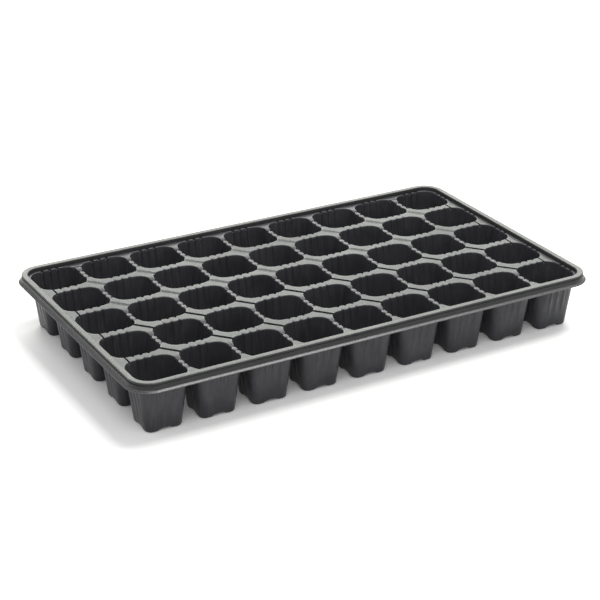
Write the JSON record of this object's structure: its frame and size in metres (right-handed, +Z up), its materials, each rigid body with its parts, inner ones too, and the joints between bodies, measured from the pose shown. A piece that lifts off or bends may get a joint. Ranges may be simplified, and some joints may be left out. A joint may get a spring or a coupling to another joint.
{
  "type": "plug tray",
  "caption": "Black plastic plug tray: a rectangular grid of tapered, fluted growing cells with rounded corners, a flat webbed deck and a raised rim with skirt and lip.",
  "frame": {"origin": "centre of the tray's rectangle, on the plane of the cells' feet", "axes": "+X along the long side, +Y along the short side from the front to the back, +Z up out of the cells' openings"},
  "size_m": [0.5306, 0.3096, 0.061],
  "materials": {
    "cell_sheet": "satin black sheet",
    "deck_sheet": "satin black sheet",
    "rim_sheet": "satin black sheet, finely stippled on the skirt"
  },
  "bodies": {
    "root": {"cell_r1_c1": "cell_sheet", "cell_r1_c2": "cell_sheet", "cell_r1_c3": "cell_sheet", "cell_r1_c4": "cell_sheet", "cell_r1_c5": "cell_sheet", "cell_r1_c6": "cell_sheet", "cell_r1_c7": "cell_sheet", "cell_r1_c8": "cell_sheet", "cell_r1_c9": "cell_sheet", "cell_r2_c1": "cell_sheet", "cell_r2_c2": "cell_sheet", "cell_r2_c3": "cell_sheet", "cell_r2_c4": "cell_sheet", "cell_r2_c5": "cell_sheet", "cell_r2_c6": "cell_sheet", "cell_r2_c7": "cell_sheet", "cell_r2_c8": "cell_sheet", "cell_r2_c9": "cell_sheet", "cell_r3_c1": "cell_sheet", "cell_r3_c2": "cell_sheet", "cell_r3_c3": "cell_sheet", "cell_r3_c4": "cell_sheet", "cell_r3_c5": "cell_sheet", "cell_r3_c6": "cell_sheet", "cell_r3_c7": "cell_sheet", "cell_r3_c8": "cell_sheet", "cell_r3_c9": "cell_sheet", "cell_r4_c1": "cell_sheet", "cell_r4_c2": "cell_sheet", "cell_r4_c3": "cell_sheet", "cell_r4_c4": "cell_sheet", "cell_r4_c5": "cell_sheet", "cell_r4_c6": "cell_sheet", "cell_r4_c7": "cell_sheet", "cell_r4_c8": "cell_sheet", "cell_r4_c9": "cell_sheet", "cell_r5_c1": "cell_sheet", "cell_r5_c2": "cell_sheet", "cell_r5_c3": "cell_sheet", "cell_r5_c4": "cell_sheet", "cell_r5_c5": "cell_sheet", "cell_r5_c6": "cell_sheet", "cell_r5_c7": "cell_sheet", "cell_r5_c8": "cell_sheet", "cell_r5_c9": "cell_sheet", "row_webs": "deck_sheet", "column_webs": "deck_sheet", "rim_front": "rim_sheet", "rim_back": "rim_sheet", "rim_left": "rim_sheet", "rim_right": "rim_sheet", "rim_turn_fl": "rim_sheet", "rim_turn_fr": "rim_sheet", "rim_turn_bl": "rim_sheet", "rim_turn_br": "rim_sheet", "lip_sides": "rim_sheet", "lip_turns": "rim_sheet"}
  },
  "joints": []
}
